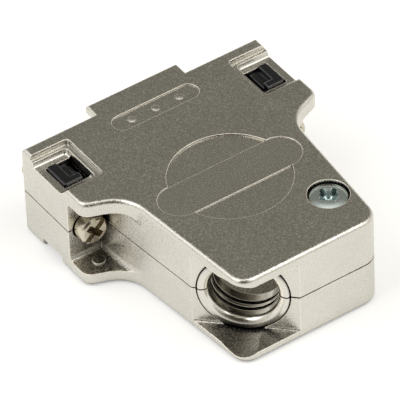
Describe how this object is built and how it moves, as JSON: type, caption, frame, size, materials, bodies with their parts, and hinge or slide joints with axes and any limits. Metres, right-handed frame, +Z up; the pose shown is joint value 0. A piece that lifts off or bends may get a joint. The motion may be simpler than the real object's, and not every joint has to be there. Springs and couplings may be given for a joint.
{
  "type": "d-sub hood",
  "caption": "Die-cast metal D-sub hood with a slanted cable outlet, split ferrule, jackscrews and sliding black retainers.",
  "frame": {"origin": "middle of the flat underside: centred between the side walls and between the mating face and the back wall", "axes": "+Y towards the mating face, +Z up through the closed hood, +X to the right seen from behind with the hood lying flat"},
  "size_m": [0.0392, 0.0442, 0.015],
  "materials": {
    "nickel": "satin nickel plate on a zinc casting",
    "screw_steel": "bright plated steel",
    "black_plastic": "semi-gloss"
  },
  "bodies": {
    "hood": {"upper_shell": "nickel", "lower_shell": "nickel", "ferrule_upper": "nickel", "ferrule_lower": "nickel", "case_screw": "screw_steel"},
    "screw_left": {"jackscrew_left": "screw_steel"},
    "screw_right": {"jackscrew_right": "screw_steel"},
    "slider_left": {"retainer_left": "black_plastic"},
    "slider_right": {"retainer_right": "black_plastic"}
  },
  "joints": [
    {"name": "screw_left_turn", "type": "hinge", "parent": "hood", "child": "screw_left", "pos_m": [-0.01665, 0.02035, 0.0075], "axis": [0, 1, 0], "continuous": true},
    {"name": "screw_right_turn", "type": "hinge", "parent": "hood", "child": "screw_right", "pos_m": [0.01665, 0.02035, 0.0075], "axis": [0, 1, 0], "continuous": true},
    {"name": "retainer_left_slide", "type": "slide", "parent": "hood", "child": "slider_left", "axis": [1, 0, 0], "range_m": [0, 0.0011]},
    {"name": "retainer_right_slide", "type": "slide", "parent": "hood", "child": "slider_right", "axis": [-1, 0, 0], "range_m": [0, 0.0011]}
  ]
}
